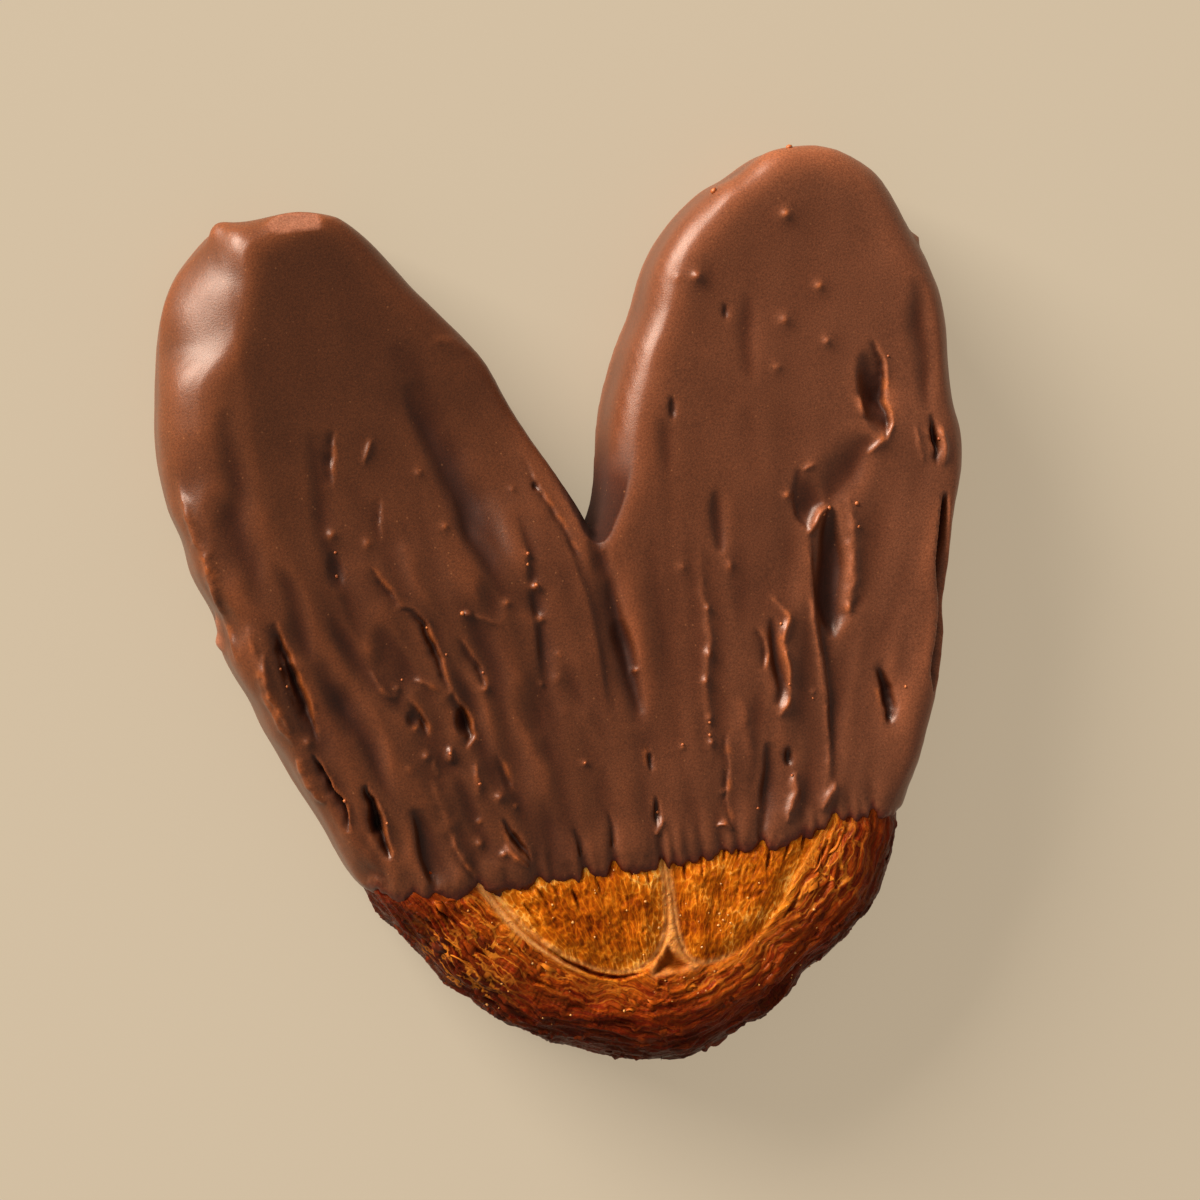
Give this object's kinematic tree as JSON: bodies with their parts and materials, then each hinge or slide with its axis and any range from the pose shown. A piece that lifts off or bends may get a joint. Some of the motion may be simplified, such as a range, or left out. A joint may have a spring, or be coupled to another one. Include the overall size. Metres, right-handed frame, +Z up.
{
  "type": "palmier pastry",
  "caption": "Flat heart-shaped palmier of rolled puff pastry with two long lobes, dipped in milk chocolate from the tips down to a bare caramelised base.",
  "frame": {"origin": "on the table under the middle of the pastry's box, as it lies on its back", "axes": "+Y along the pastry from the bare base to the two tips, +X across it to the right as its face is seen, +Z up out of the face"},
  "size_m": [0.0953, 0.105, 0.0155],
  "materials": {
    "baked_pastry": "caramelised puff pastry, golden on the rolls, dark brown and glossy at the rim",
    "milk_chocolate": "set milk chocolate, satin"
  },
  "bodies": {
    "root": {"pastry": "baked_pastry", "chocolate_coat": "milk_chocolate"}
  },
  "joints": []
}
